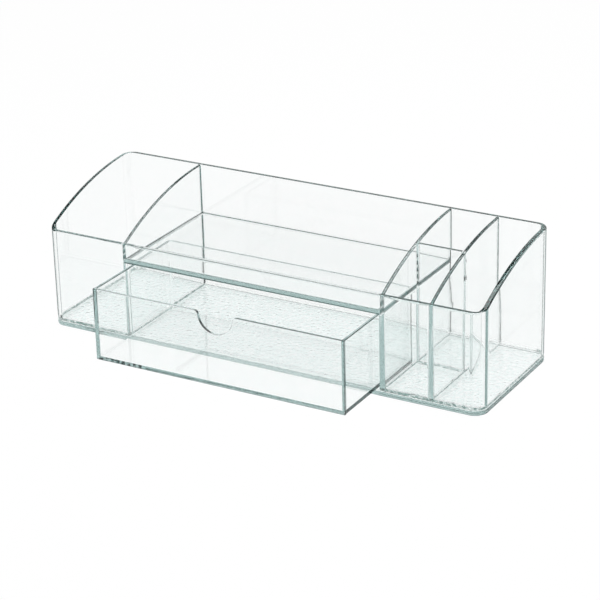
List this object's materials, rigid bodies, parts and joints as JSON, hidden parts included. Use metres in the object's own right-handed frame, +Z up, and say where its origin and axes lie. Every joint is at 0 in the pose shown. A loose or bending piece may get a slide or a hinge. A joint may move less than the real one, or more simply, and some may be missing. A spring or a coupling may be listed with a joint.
{
  "type": "vanity organiser",
  "caption": "Clear plastic vanity organiser: open bins for brushes, a shallow tray, and a pull-out drawer with a finger notch under the tray.",
  "frame": {"origin": "centre of the base plate's resting face, under the middle of the casing", "axes": "+Z up, +X along the length towards the brush bins, -Y towards the user, the way the drawer opens"},
  "size_m": [0.3186, 0.1402, 0.0918],
  "materials": {
    "clear_plastic": "clear, polished",
    "rippled_plastic": "clear, with a rippled upper face"
  },
  "bodies": {
    "casing": {"base_plate": "rippled_plastic", "outer_shell": "clear_plastic", "left_divider": "clear_plastic", "middle_divider": "clear_plastic", "right_divider": "clear_plastic", "cross_divider": "clear_plastic", "shelf": "clear_plastic"},
    "drawer": {"drawer_front": "clear_plastic", "drawer_wall": "clear_plastic", "drawer_floor": "clear_plastic"}
  },
  "joints": [
    {"name": "drawer_slide", "type": "slide", "parent": "casing", "child": "drawer", "axis": [0, -1, 0], "range_m": [-0.0407, 0.0393]}
  ]
}
